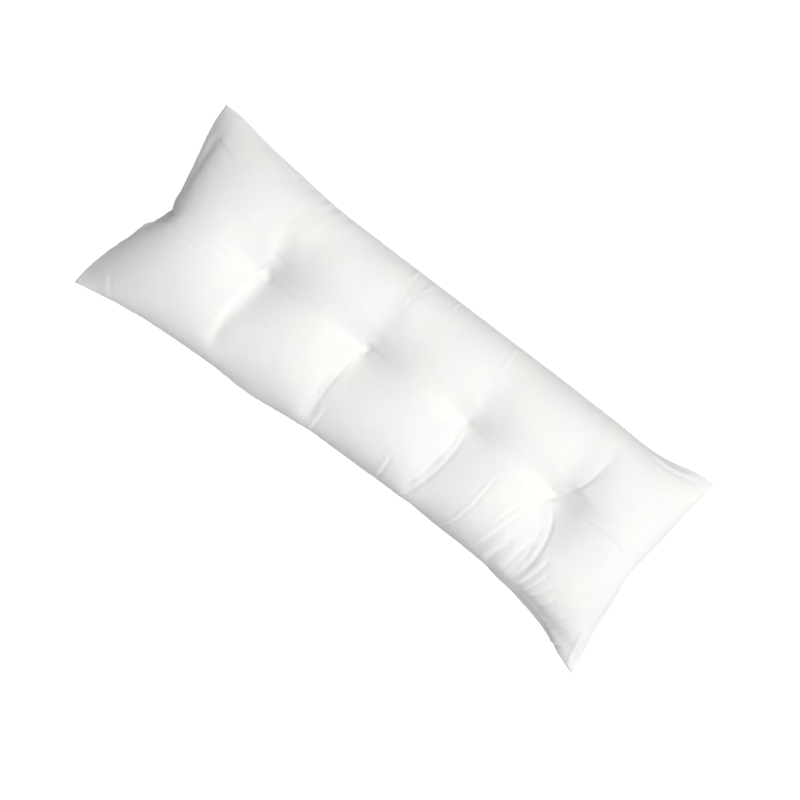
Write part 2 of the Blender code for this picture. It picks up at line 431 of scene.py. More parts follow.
class FilledCover:
    """Two panels sewn together all round, as two grids of points that the filling pushes apart.

    along and across are each point's place on the cut cloth, from its middle. points[0] is the top panel,
    points[1] the bottom one, with row 0 on the near seam and column 0 on the left end.
    """

    def __init__(self, cut_length, cut_width):
        self.half_length, self.half_width = cut_length / 2, cut_width / 2
        along = np.linspace(-self.half_length, self.half_length, GRID_COLUMNS + 1)
        across = np.linspace(-self.half_width, self.half_width, GRID_ROWS + 1)
        self.along, self.across = np.meshgrid(along, across)
        near, far, left, right = outline(
            np.linspace(0, 1, GRID_COLUMNS + 1), np.linspace(0, 1, GRID_ROWS + 1)
        )
        self.seams = [
            ((ALL, 0), near),
            ((ALL, -1), far),
            ((ALL, ALL, 0), left),
            ((ALL, ALL, -1), right),
        ]
        self.points = self.laid_out(near, far, left, right)
        self.speeds = np.zeros_like(self.points)
        self.links = self.cloth_links()
        self.most_gap = self.held_gap()

    def laid_out(self, near, far, left, right):
        """Both panels spread over the outline and crowned apart."""
        a = (np.arange(GRID_COLUMNS + 1) / GRID_COLUMNS)[None, :, None]
        b = (np.arange(GRID_ROWS + 1) / GRID_ROWS)[:, None, None]
        spread = blend(near[None], far[None], b) + blend(left[:, None], right[:, None], a)
        spread -= blend(blend(near[0], near[-1], a), blend(far[0], far[-1], a), b)
        along_rise, across_rise = (
            np.clip(1 - np.abs(2 * share - 1) ** squareness, 0, 1) ** CROWN_FULLNESS
            for share, squareness in zip((a, b), CROWN_SQUARENESS)
        )
        crown = START_CROWN * (across_rise * along_rise)[..., 0]
        panels = np.stack([spread, spread])
        panels[0, ..., 2] += crown
        panels[1, ..., 2] -= np.minimum(crown, panels[1, ..., 2])
        return panels

    def cloth_links(self):
        """The threads of the cloth, its shear and its bending, as links between grid points."""
        rows, columns = self.along.shape
        links = []
        for rows_on, columns_on, stiffness in (
            (0, 1, 1.0),
            (1, 0, 1.0),
            (1, 1, SHEAR_STIFFNESS),
            (0, 2, BENDING_STIFFNESS),
            (2, 0, BENDING_STIFFNESS),
        ):
            for row, row_on in paired(rows, rows_on):
                for column, column_on in paired(columns, columns_on):
                    ends = [((row, column), (row_on, column_on))]
                    if rows_on and columns_on:
                        ends.append(((row, column_on), (row_on, column)))
                    for start, end in ends:
                        length = np.hypot(
                            self.along[end] - self.along[start],
                            self.across[end] - self.across[start],
                        )
                        links.append(((ALL, *start), (ALL, *end), length, stiffness))
        return links

    def held_gap(self):
        """The most that may lie between the panels at each point: creases and tufts hold them together."""
        free = FREE_GAP * np.sqrt(1 - np.abs(self.across / self.half_width) ** FREE_GAP_SQUARENESS)
        gap = np.full(self.along.shape, np.inf)
        for crease in CREASES:
            to_crease = np.abs(self.along - along_crease(crease, self.across, self.half_width))
            from_tuft = np.abs(self.across - crease.tuft_across) / self.half_width
            foot_level = np.where(
                self.across < crease.tuft_across, crease.near_level, crease.far_level
            )
            level = blend(crease.tuft_level, foot_level, 1 - np.exp(-from_tuft / CREASE_REACH))
            held = free * level + CREASE_SLOPE * np.maximum(to_crease - CREASE_FLOOR * CREASE_WIDTH, 0)
            gap = np.where(to_crease < CREASE_WIDTH, np.minimum(gap, held), gap)
            to_tuft = np.hypot(self.along - crease.tuft, self.across - crease.tuft_across)
            gap = np.where(to_tuft < TUFT_RADIUS, np.minimum(gap, crease.tuft_gap), gap)
        gap[0] = gap[-1] = np.inf
        return gap

    def outward_areas(self):
        """Each point's share of the cover's area, as outward vectors, and the volume inside."""
        p = self.points
        crossed = np.cross(p[:, 1:, 1:] - p[:, :-1, :-1], p[:, 1:, :-1] - p[:, :-1, 1:]) / 2
        crossed[1] *= -1
        middle = (p[:, 1:, 1:] + p[:, :-1, :-1] + p[:, 1:, :-1] + p[:, :-1, 1:]) / 4
        areas = np.zeros_like(p)
        for rows in (slice(0, -1), slice(1, None)):
            for columns in (slice(0, -1), slice(1, None)):
                areas[:, rows, columns] += crossed / 4
        return areas, float((middle * crossed).sum() / 3)

    def push(self, filling, mass):
        """Moves the points by the filling's pressure and weight for one step."""
        areas, volume = self.outward_areas()
        short = (filling - volume) / (PRESSURE_BAND * filling)
        force = MOST_PRESSURE * min(max(short, 0.0), 1.0) * areas
        gap = np.maximum(self.points[0, ..., 2] - self.points[1, ..., 2], 0)
        force[1, ..., 2] -= FILLING_WEIGHT * gap / gap.sum()
        force[..., 2] -= GRAVITY * mass
        self.speeds = (self.speeds + TIME_STEP * force / mass) * DRAG
        speed = np.linalg.norm(self.speeds, axis=-1, keepdims=True)
        self.speeds *= np.minimum(1, SPEED_LIMIT / np.maximum(speed, TINY))
        self.points += TIME_STEP * self.speeds

    def pull_links(self):
        """Pulls each link of the cloth towards its own length."""
        for start, end, length, stiffness in self.links:
            a, b = self.points[start], self.points[end]
            apart = b - a
            distance = np.sqrt(np.einsum("...i,...i->...", apart, apart)) + TINY
            pull = (0.5 * stiffness * (1 - length / distance))[..., None] * apart
            a += pull
            b -= pull

    def sew(self):
        """Joins the panels at the seam, draws it to the outline, and squeezes the creases and tufts."""
        for seam, _ in self.seams:
            self.points[seam] = self.points[seam].mean(axis=0)[None]
        top, bottom = self.points[0, ..., 2], self.points[1, ..., 2]
        gap = top - bottom
        squeeze = SQUEEZE * np.clip(gap - self.most_gap, 0, None)
        squeeze[1:-1, 1:-1] -= np.clip(LEAST_GAP - gap, 0, None)[1:-1, 1:-1] / 2
        top -= squeeze
        bottom += squeeze
        np.clip(self.points[..., 2], 0, None, out=self.points[..., 2])
        for seam, place in self.seams:
            joined = self.points[seam]
            joined += SEAM_PULL * (place - joined)

    def settle(self, filling, steps):
        """Fills the cover with that volume and lets it settle on the surface below."""
        mass = CLOTH_DENSITY * 4 * self.half_length * self.half_width / (GRID_COLUMNS * GRID_ROWS)
        for _ in range(steps):
            before = self.points.copy()
            self.push(filling, mass)
            for _ in range(PASSES):
                self.pull_links()
                self.sew()
            self.speeds = (self.points - before) / TIME_STEP

    def calm_points(self):
        """The points without the waves beside the long seams that are as short as the grid can hold.

        A fourth difference along each row finds those waves. The bottom panel's belly beside them is evened
        out from bay to bay as well.
        """
        points = self.points.copy()
        beside = smooth_step(np.abs(self.across) / self.half_width, *CALM_BAND)
        one_off = points[:, :, 3:-1] + points[:, :, 1:-3]
        two_off = points[:, :, 4:] + points[:, :, :-4]
        waves = (two_off - 4 * one_off + 6 * points[:, :, 2:-2]) / 16
        points[:, :, 2:-2] -= beside[:, 2:-2, None] * waves
        even = beside * (1 - smooth_step(np.abs(self.along) / self.half_length, *EVEN_ENDS))
        even[0] = even[-1] = 0
        bottom = points[1]
        for _ in range(EVEN_PASSES):
            neighbours = (bottom[:, 2:] + bottom[:, :-2]) / 2
            bottom[:, 1:-1] = blend(bottom[:, 1:-1], neighbours, even[:, 1:-1, None] / 2)
        points[..., 2] = np.maximum(points[..., 2], 0)
        return points

    def fine_panels(self):
        """The cut places and both panels' points on the finer grid."""
        rows = crowded(FINE_ROWS, ROW_CROWDING)
        columns = crowded(FINE_COLUMNS, COLUMN_CROWDING)
        row_places = (rows + 1) / 2 * GRID_ROWS
        column_places = (columns + 1) / 2 * GRID_COLUMNS
        panels = between(between(self.calm_points(), row_places, 1), column_places, 2)
        along, across = np.meshgrid(columns * self.half_length, rows * self.half_width)
        return along, across, panels


# ---------------------------------------------------------------------------------------------------------
# Folds, gathers and the seam line


def panel_normals(panel, outward):
    """A panel's normals at its points, where outward is 1 for the top panel and -1 for the bottom one."""
    normals = outward * np.cross(np.gradient(panel, axis=1), np.gradient(panel, axis=0))
    return normals / (np.linalg.norm(normals, axis=-1, keepdims=True) + TINY)


def from_seam(along, across):
    """How far each point of the cloth lies from the nearest seam."""
    return np.minimum(along[0, -1] - np.abs(along), across[-1, 0] - np.abs(across))


def press_fold(height, fold, along, across):
    """Adds one fold to the heights over the cloth. All in millimetres."""
    steps = np.linspace(0, 1, FOLD_PIECES + 1)
    curve = np.stack(
        [
            bent(fold.start_along, fold.along, fold.end_along, steps),
            bent(fold.start_across, fold.across, fold.end_across, steps),
        ],
        -1,
    )
    runs_across = abs(curve[-1, 1] - curve[0, 1]) > abs(curve[-1, 0] - curve[0, 0])
    margin = FOLD_MARGIN * fold.width
    low, high = curve.min(0) - margin, curve.max(0) + margin
    rows = np.nonzero((across[:, 0] > low[1]) & (across[:, 0] < high[1]))[0]
    columns = np.nonzero((along[0] > low[0]) & (along[0] < high[0]))[0]
    window = (slice(rows[0], rows[-1] + 1), slice(columns[0], columns[-1] + 1))
    place = np.stack([along[window], across[window]], -1)
    nearest = np.full(place.shape[:2], np.inf)
    side = np.zeros_like(nearest)
    share = np.zeros_like(nearest)
    for k, (start, end) in enumerate(zip(curve[:-1], curve[1:])):
        run = end - start
        reach = np.clip(((place - start) @ run) / (run @ run), 0, 1)
        off = place - start - reach[..., None] * run
        distance = np.hypot(off[..., 0], off[..., 1])
        closer = distance < nearest
        nearest = np.where(closer, distance, nearest)
        sideways = off[..., 0] if runs_across else -off[..., 1]
        side = np.where(closer, np.sign(sideways), side)
        share = np.where(closer, (k + reach) / FOLD_PIECES, share)
    signed = nearest * side / fold.width
    if fold.height < 0:
        signed = np.where(signed < 0, GROOVE_STEEPNESS * signed, signed)
    ridge = fold.height * bell(signed) - fold.hollow * bell((signed - HOLLOW_PLACE) / HOLLOW_WIDTH)
    fade = smooth_step(share, *FADE_IN) * (1 - smooth_step(share, *FADE_OUT))
    height[window] += ridge * fade * smooth_step(from_seam(along, across)[window], 0.0, fold.width)


def smooth_noise(rng, along, across, size):
    """Smooth random values over the cloth, about -1 to 1, with lumps of that size in millimetres."""
    column_places = (along[0] - along[0, 0]) / size
    row_places = (across[:, 0] - across[0, 0]) / size
    coarse = rng.uniform(-1, 1, (int(row_places[-1]) + 3, int(column_places[-1]) + 3))
    return between(between(coarse, row_places, 0), column_places, 1)


def gathers(rng, along, across, panel):
    """The small gathers that the thread draws into the cloth beside all four seams. In millimetres.

    Both panels have the same gathers, which run less far into panel 1, the bottom one.
    """
    half_length, half_width = along[0, -1], across[-1, 0]
    strengths = [curve_through(GATHER_STRENGTH, column) for column in (1, 2)]
    height = np.zeros_like(along)
    for seam in range(4):
        on_long = seam < 2
        inward = (half_width if on_long else half_length) - np.abs(across if on_long else along)
        here = (across if on_long else along) * (-1 if seam in (0, 2) else 1) > 0
        run = along if on_long else across
        half = half_length if on_long else half_width
        place = -half + GATHER_MARGIN
        while place < half - GATHER_MARGIN:
            strength = float(strengths[seam](place * MM)) if on_long else 1.0
            width = rng.uniform(*GATHER_WIDTH)
            reach = rng.uniform(*GATHER_REACH) * (1 + rng.random() ** 3)
            lift = strength * rng.uniform(*GATHER_HEIGHT) * rng.choice([-1, 1, 1])
            lean = rng.uniform(*GATHER_LEAN)
            share = blend(1.0, rng.uniform(*UNDER_REACH), panel)
            lines = bell((run - place - lean * inward) / width)
            height += here * lift * lines * bell(inward / (reach * share))
            place += rng.uniform(*GATHER_SPACING)
    return height


def seam_line(along, across):
    """The groove where the panels meet and the fuller cloth beside it. In millimetres."""
    inward = from_seam(along, across)
    swell = SWELL_HEIGHT * bell((inward - SWELL_PLACE) / SWELL_WIDTH)
    return swell - SEAM_DEPTH * bell(inward / SEAM_WIDTH)


def tuft_wrinkles(rng, along, across):
    """Short wrinkles that fan out from each tuft, and the pinch in its middle. In millimetres."""
    height = np.zeros_like(along)
    for crease in CREASES:
        x, y = along - crease.tuft / MM, across - crease.tuft_across / MM
        distance, angle = np.hypot(x, y), np.arctan2(y, x)
        height -= PINCH_DEPTH * bell(distance / PINCH_RADIUS)
        for turn in np.linspace(0, 2 * math.pi, TUFT_WRINKLES, endpoint=False):
            turn += rng.uniform(*WRINKLE_TURN)
            length = rng.uniform(*WRINKLE_LENGTH)
            off = distance * np.sin(np.clip(angle_between(angle, turn), -math.pi / 2, math.pi / 2))
            lines = bell(off / rng.uniform(*WRINKLE_WIDTH))
            fade = bell(distance / length) * smooth_step(distance, *WRINKLE_START)
            height += rng.uniform(*WRINKLE_HEIGHT) * lines * fade * (np.cos(angle - turn) > 0)
    return height


def angle_between(angle, turn):
    return (angle - turn + math.pi) % (2 * math.pi) - math.pi


def pressed_panels(along, across, panels, settings):
    """The panels with their folds, gathers, seam line and uneven filling pressed in."""
    along, across = along / MM, across / MM
    normals = [panel_normals(panel, outward) for panel, outward in zip(panels, (1, -1))]
    edge = np.zeros(along.shape, bool)
    edge[0] = edge[-1] = edge[:, 0] = edge[:, -1] = True
    seamward = (normals[0] + normals[1])[edge]
    seamward /= np.linalg.norm(seamward, axis=-1, keepdims=True) + TINY
    pressed = []
    for number, panel in enumerate(panels):
        rng = np.random.default_rng(LUMP_SEED + number)
        height = settings.lumps * sum(lift * smooth_noise(rng, along, across, size) for lift, size in LUMPS)
        lift, size = CLOTH_LUMPS
        height += settings.wrinkles * lift * smooth_noise(rng, along, across, size)
        height += settings.wrinkles * tuft_wrinkles(rng, along, across)
        height *= smooth_step(from_seam(along, across), 0.0, LUMPLESS_EDGE)
        if number == 0:
            for fold in FOLDS:
                deep = fold._replace(
                    height=fold.height * settings.folds, hollow=fold.hollow * settings.folds
                )
                press_fold(height, deep, along, across)
        height[edge] = 0
        rng = np.random.default_rng(GATHER_SEED)
        height += settings.gathers * gathers(rng, along, across, number) + seam_line(along, across)
        direction = normals[number].copy()
        direction[edge] = seamward
        moved = panel + height[..., None] * MM * direction
        moved[..., 2] = np.maximum(moved[..., 2], 0)
        pressed.append(moved)
    return pressed


def sewn_mesh(along, across, panels):
    """One closed mesh: the top panel, and the bottom one with every second row and column."""
    rows, columns = along.shape
    top = np.arange(rows * columns).reshape(rows, columns)
    under = top[::2, ::2].copy()
    inner = under[1:-1, 1:-1]
    under[1:-1, 1:-1] = rows * columns + np.arange(inner.size).reshape(inner.shape)
    points = np.concatenate(
        [panels[0].reshape(-1, 3), panels[1][::2, ::2][1:-1, 1:-1].reshape(-1, 3)]
    )
    flat = np.stack([along, across, np.zeros_like(along)], -1)
    cut = np.concatenate([flat.reshape(-1, 3), flat[::2, ::2][1:-1, 1:-1].reshape(-1, 3)])
    faces = np.stack([top[:-1, :-1], top[:-1, 1:], top[1:, 1:], top[1:, :-1]], -1)
    faces = faces.reshape(-1, 4).tolist()
    last_row, last_column = under.shape[0] - 2, under.shape[1] - 2
    for i in range(last_row + 1):
        for j in range(last_column + 1):
            ring = [under[i, j]]
            if j == 0:
                ring.append(top[2 * i + 1, 0])
            ring.append(under[i + 1, j])
            if i == last_row:
                ring.append(top[-1, 2 * j + 1])
            ring.append(under[i + 1, j + 1])
            if j == last_column:
                ring.append(top[2 * i + 1, -1])
            ring.append(under[i, j + 1])
            if i == 0:
                ring.append(top[0, 2 * j + 1])
            faces.append([int(number) for number in ring])
    mesh = bpy.data.meshes.new("pillow_cover")
    mesh.from_pydata(points.tolist(), [], faces)
    mesh.attributes.new("cut_place", "FLOAT_VECTOR", "POINT").data.foreach_set("vector", cut.ravel())
    mesh.shade_smooth()
    return mesh


# ---------------------------------------------------------------------------------------------------------
# Threads

# How many sides a thread has, and how thin its ends are.
THREAD_SIDES = 8
THREAD_END = 0.55


def thread_along(mesh, path, radius):
    """Adds a round thread along a path to a bmesh, with closed ends."""
    rings = []
    for number, place in enumerate(path):
        ahead = path[min(number + 1, len(path) - 1)]
        behind = path[max(number - 1, 0)]
        turn = (ahead - behind).to_track_quat("Z", "X")
        thin = radius * (THREAD_END if number in (0, len(path) - 1) else 1.0)
        rings.append(
            [
                mesh.verts.new(place + turn @ Vector((thin * math.cos(a), thin * math.sin(a), 0)))
                for a in (2 * math.pi * k / THREAD_SIDES for k in range(THREAD_SIDES))
            ]
        )
    for ring, following in zip(rings[:-1], rings[1:]):
        for k in range(THREAD_SIDES):
            following_k = (k + 1) % THREAD_SIDES
            mesh.faces.new((ring[k], ring[following_k], following[following_k], following[k]))
    mesh.faces.new(list(reversed(rings[0])))
    mesh.faces.new(rings[-1])


def placed(name, data):
    """An object in the scene for a mesh, a lamp or a camera."""
    made = bpy.data.objects.new(name, data)
    bpy.context.scene.collection.objects.link(made)
    return made


def shown_piece(name, mesh, material):
    """An object for a mesh, riding on the pillow's body and taking the material that it is given."""
    piece = placed(name, mesh)
    mesh.materials.append(material)
    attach(piece, "root")
    return piece


def thread_piece(name, threads, material):
    """A piece made of the threads in a bmesh, which is freed."""
    mesh = bpy.data.meshes.new(name)
    threads.to_mesh(mesh)
    threads.free()
    mesh.shade_smooth()
    return shown_piece(name, mesh, material)


def cover_point(cover, along, across, under):
    """The cover's point nearest to a place on the cut cloth, on its top or bottom panel."""
    mesh = cover.data
    count = len(mesh.vertices)
    cut, points = np.empty(count * 3), np.empty(count * 3)
    mesh.attributes["cut_place"].data.foreach_get("vector", cut)
    mesh.vertices.foreach_get("co", points)
    cut, points = cut.reshape(-1, 3), points.reshape(-1, 3)
    top_count = (FINE_COLUMNS + 1) * (FINE_ROWS + 1)
    first = top_count if under else 0
    last = count if under else top_count
    far = np.hypot(cut[first:last, 0] - along, cut[first:last, 1] - across)
    return Vector(points[first + int(far.argmin())])


# ---------------------------------------------------------------------------------------------------------
# Materials

# The colour sockets of a mix node, which also has number and vector sockets of the same names.
MIX_A, MIX_B, MIX_RESULT = 6, 7, 2

# How far apart the threads of the cloth and the fibres of a thread are, as a number for each metre, and how
# deep they look.
CLOTH_THREADS = 1400.0
THREAD_FIBRES = 2600.0
WEAVE_DEPTH = 0.0002


def set_inputs(made, inputs):
    """Sets a node's inputs by name. An underscore in a name stands for a space."""
    for name, value in inputs.items():
        made.inputs[name.replace("_", " ")].default_value = value


def node(tree, kind, **inputs):
    """Adds a node with some of its inputs set."""
    made = tree.nodes.new(kind)
    set_inputs(made, inputs)
    return made


def shaded_material(name, **inputs):
    """A material, its node tree and its shader, which has some of its inputs set."""
    material = bpy.data.materials.new(name)
    material.use_nodes = True
    shader = material.node_tree.nodes["Principled BSDF"]
    set_inputs(shader, inputs)
    return material, material.node_tree, shader


def link(tree, source, target):
    tree.links.new(source, target)


def maths(tree, operation, first, second):
    """Adds a maths node for a socket and another socket or a number, and gives its result."""
    made = node(tree, "ShaderNodeMath")
    made.operation = operation
    link(tree, first, made.inputs[0])
    if isinstance(second, float):
        made.inputs[1].default_value = second
    else:
        link(tree, second, made.inputs[1])
    return made.outputs[0]


def weave_group():
    """A plain weave over a place on flat cloth: the height of its threads and how uneven they are."""
    if "Plain weave" in bpy.data.node_groups:
        return bpy.data.node_groups["Plain weave"]
    group = bpy.data.node_groups.new("Plain weave", "ShaderNodeTree")
    for name, kind, way in (
        ("Place", "NodeSocketVector", "INPUT"),
        ("Threads per metre", "NodeSocketFloat", "INPUT"),
        ("Slub", "NodeSocketFloat", "INPUT"),
        ("Height", "NodeSocketFloat", "OUTPUT"),
        ("Unevenness", "NodeSocketFloat", "OUTPUT"),
    ):
        group.interface.new_socket(name, in_out=way, socket_type=kind)
    given, result = node(group, "NodeGroupInput"), node(group, "NodeGroupOutput")
    scaled = node(group, "ShaderNodeVectorMath")
    scaled.operation = "SCALE"
    link(group, given.outputs["Place"], scaled.inputs[0])
    link(group, given.outputs["Threads per metre"], scaled.inputs["Scale"])
    slub = node(group, "ShaderNodeTexNoise", Scale=0.11, Detail=3.0)
    link(group, scaled.outputs[0], slub.inputs["Vector"])
    heights = []
    for direction in ("X", "Y"):
        threads = node(group, "ShaderNodeTexWave", Scale=0.5, Distortion=0.6, Detail=1.0)
        threads.bands_direction = direction
        link(group, scaled.outputs[0], threads.inputs["Vector"])
        heights.append(threads.outputs["Fac"])
    uneven = maths(group, "MULTIPLY", slub.outputs["Fac"], given.outputs["Slub"])
    total = maths(group, "ADD", maths(group, "MAXIMUM", *heights), uneven)
    link(group, total, result.inputs["Height"])
    link(group, slub.outputs["Fac"], result.inputs["Unevenness"])
    return group


def cotton_material(name, settings, threads_per_metre, on_cut_cloth):
    """White cotton: its weave, fine creases from wear, and a faint unevenness of colour."""
    material, tree, shader = shaded_material(
        name, Specular_IOR_Level=0.25, Sheen_Weight=0.12, Sheen_Roughness=0.5
    )
    if on_cut_cloth:
        place = node(tree, "ShaderNodeAttribute")
        place.attribute_name = "cut_place"
        place = place.outputs["Vector"]
    else:
        place = node(tree, "ShaderNodeTexCoord").outputs["Object"]

    weave = node(tree, "ShaderNodeGroup")
    weave.node_tree = weave_group()
    set_inputs(weave, {"Threads per metre": threads_per_metre, "Slub": 0.8})
    link(tree, place, weave.inputs["Place"])

    shade = node(tree, "ShaderNodeTexNoise", Scale=7.0, Detail=4.0, Roughness=0.6)
    link(tree, place, shade.inputs["Vector"])
    colour = node(tree, "ShaderNodeMix")
    colour.data_type = "RGBA"
    colour.inputs[MIX_A].default_value = (*settings.cloth_colour, 1)
    colour.inputs[MIX_B].default_value = (*settings.shade_colour, 1)
    spread = node(tree, "ShaderNodeMapRange", From_Min=0.35, From_Max=0.75)
    link(tree, shade.outputs["Fac"], spread.inputs["Value"])
    link(tree, spread.outputs[0], colour.inputs["Factor"])
    slubs = node(tree, "ShaderNodeMix")
    slubs.data_type = "RGBA"
    slubs.blend_type = "MULTIPLY"
    slubs.inputs["Factor"].default_value = 0.05
    link(tree, colour.outputs[MIX_RESULT], slubs.inputs[MIX_A])
    link(tree, weave.outputs["Unevenness"], slubs.inputs[MIX_B])
    link(tree, slubs.outputs[MIX_RESULT], shader.inputs["Base Color"])

    rough = node(tree, "ShaderNodeMapRange", To_Min=0.82, To_Max=0.95)
    link(tree, shade.outputs["Fac"], rough.inputs["Value"])
    link(tree, rough.outputs[0], shader.inputs["Roughness"])

    wrinkles = node(tree, "ShaderNodeTexNoise", Scale=42.0, Detail=5.0, Roughness=0.62)
    link(tree, place, wrinkles.inputs["Vector"])
    worn = node(tree, "ShaderNodeBump", Strength=0.22, Distance=0.004)
    link(tree, wrinkles.outputs["Fac"], worn.inputs["Height"])
    woven = node(tree, "ShaderNodeBump", Strength=0.25, Distance=WEAVE_DEPTH)
    link(tree, weave.outputs["Height"], woven.inputs["Height"])
    link(tree, worn.outputs["Normal"], woven.inputs["Normal"])
    link(tree, woven.outputs["Normal"], shader.inputs["Normal"])
    return material


# ---------------------------------------------------------------------------------------------------------
# Settings


class PillowCoverSettings(bpy.types.PropertyGroup):
    """How the cover is cut, filled, creased and coloured"""

    cut_length: FloatProperty(
        name="Cut Length", description="Length that both panels are cut to", default=1.372, unit="LENGTH"
    )
    cut_width: FloatProperty(
        name="Cut Width", description="Width that both panels are cut to", default=0.508, unit="LENGTH"
    )
    filling: FloatProperty(
        name="Filling", description="Space that the loose fibre takes up", default=0.074, unit="VOLUME"
    )
    folds: FloatProperty(
        name="Folds", description="Depth of the long folds and pleats", default=1.0, subtype="FACTOR"
    )
    gathers: FloatProperty(
        name="Gathers", description="Depth of the gathers at the seams", default=1.0, subtype="FACTOR"
    )
    wrinkles: FloatProperty(
        name="Wrinkles", description="Depth of the fine wrinkles", default=1.0, subtype="FACTOR"
    )
    lumps: FloatProperty(
        name="Lumps", description="Unevenness of the filling", default=1.0, subtype="FACTOR"
    )
    cloth_colour: FloatVectorProperty(
        name="Cloth", description="Colour of the cotton", subtype="COLOR", default=(0.83, 0.83, 0.825)
    )
    shade_colour: FloatVectorProperty(
        name="Cooler Cloth",
        description="Colour of the cloth's cooler parts",
        subtype="COLOR",
        default=(0.80, 0.81, 0.825),
    )


class PillowThreadSettings(bpy.types.PropertyGroup):
    """The tufting thread, and how many stitches there are"""

    thickness: FloatProperty(
        name="Thickness", description="Thickness of the tufting thread", default=0.0009, unit="LENGTH"
    )
    tuft_length: FloatProperty(
        name="Tuft Stitch", description="Length of a stitch over a tuft", default=0.006, unit="LENGTH"
    )
    tuft_strands: IntProperty(
        name="Strands", description="Threads that lie side by side over a tuft", default=3
    )
    closing_stitches: IntProperty(
        name="Closing Stitches", description="Stitches that close the opening for the filling", default=5
    )


class PillowStageSettings(bpy.types.PropertyGroup):
    """The floor, the light and the camera"""

    floor_colour: FloatVectorProperty(
        name="Floor", description="Colour of the floor", subtype="COLOR", default=(0.45, 0.45, 0.45)
    )
    floor_glow: FloatProperty(
        name="Floor Glow", description="Light added to the floor as the camera sees it", default=0.85
    )
    room_light: FloatProperty(
        name="Room Light", description="Strength of the light from all sides", default=0.55
    )
    lamp_light: FloatProperty(
        name="Lamp Light", description="Strength of the broad studio lamp", default=1.69
    )
    lamp_spread: FloatProperty(
        name="Lamp Spread", description="How wide the lamp looks", default=0.70, subtype="ANGLE"
    )
    camera_tilt: FloatProperty(
        name="Tilt", description="Tilt towards the left end", default=math.radians(8.0), subtype="ANGLE"
    )
    camera_roll: FloatProperty(
        name="Roll", description="Turn about its own axis", default=math.radians(38.1), subtype="ANGLE"
    )
    camera_distance: FloatProperty(
        name="Distance", description="From the camera to the pillow", default=6.0, unit="LENGTH"
    )
    view_width: FloatProperty(
        name="View Width", description="Width of the picture at the pillow", default=1.672, unit="LENGTH"
    )


# ---------------------------------------------------------------------------------------------------------
# Operators


class PILLOW_OT_fill_cover(bpy.types.Operator):
    """Sew the two panels together, fill them and press in the folds"""

    bl_idname = "pillow.fill_cover"
    bl_label = "Fill the Cover"

    def execute(self, context):
        settings = context.scene.pillow_cover
        cover = FilledCover(settings.cut_length, settings.cut_width)
        cover.settle(settings.filling, STEPS)
        along, across, panels = cover.fine_panels()
        panels = pressed_panels(along, across, panels, settings)
        mesh = sewn_mesh(along, across, panels)
        material = cotton_material("white_cotton", settings, CLOTH_THREADS, on_cut_cloth=True)
        piece = shown_piece("pillow_cover", mesh, material)
        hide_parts("pillow")
        return {"FINISHED"}


class PILLOW_OT_tie_tufts(bpy.types.Operator):
    """Lay the thread of each tuft over the dimple that it draws into both panels"""

    bl_idname = "pillow.tie_tufts"
    bl_label = "Tie the Tufts"

    # A strand's spacing is in thicknesses, and its lift over the cloth and sink at its ends are in radii.
    SEED = 3
    SPACING = 1.05
    TURNS = (-0.12, 0.12)
    LENGTHS = (0.85, 1.1)
    PLACES = 9
    LIFT = 0.5
    END_SINK = 2.0
    SEARCH_HEIGHT = 0.03

    def execute(self, context):
        settings = context.scene.pillow_thread
        cover = bpy.data.objects["pillow_cover"]
        surface = BVHTree.FromObject(cover, context.evaluated_depsgraph_get())
        rng = np.random.default_rng(self.SEED)
        threads = bmesh.new()
        for crease in CREASES:
            for under in (False, True):
                middle = cover_point(cover, crease.tuft, crease.tuft_across, under)
                self.lay_strands(threads, surface, middle, under, settings, rng)
        cloth = context.scene.pillow_cover
        material = cotton_material("cotton_thread", cloth, THREAD_FIBRES, on_cut_cloth=False)
        thread_piece("tuft_threads", threads, material)
        return {"FINISHED"}

    def lay_strands(self, threads, surface, middle, under, settings, rng):
        """Lays strands side by side over one tuft, each arched from the cloth on one side to the other."""
        radius = settings.thickness / 2
        away = Vector((0, 0, -1 if under else 1))
        for strand in range(settings.tuft_strands):
            off = (strand - (settings.tuft_strands - 1) / 2) * settings.thickness * self.SPACING
            turn = rng.uniform(*self.TURNS)
            half = settings.tuft_length / 2 * rng.uniform(*self.LENGTHS)
            path = []
            for share in np.linspace(-1, 1, self.PLACES):
                across = Vector((math.sin(turn), math.cos(turn), 0)) * half * share
                place = middle + across + Vector((off, 0, 0))
                found = surface.ray_cast(place + away * self.SEARCH_HEIGHT, -away)[0] or place
                lift = radius * (self.LIFT - self.END_SINK * share**6)
                path.append(found + away * lift)
            thread_along(threads, path, radius)


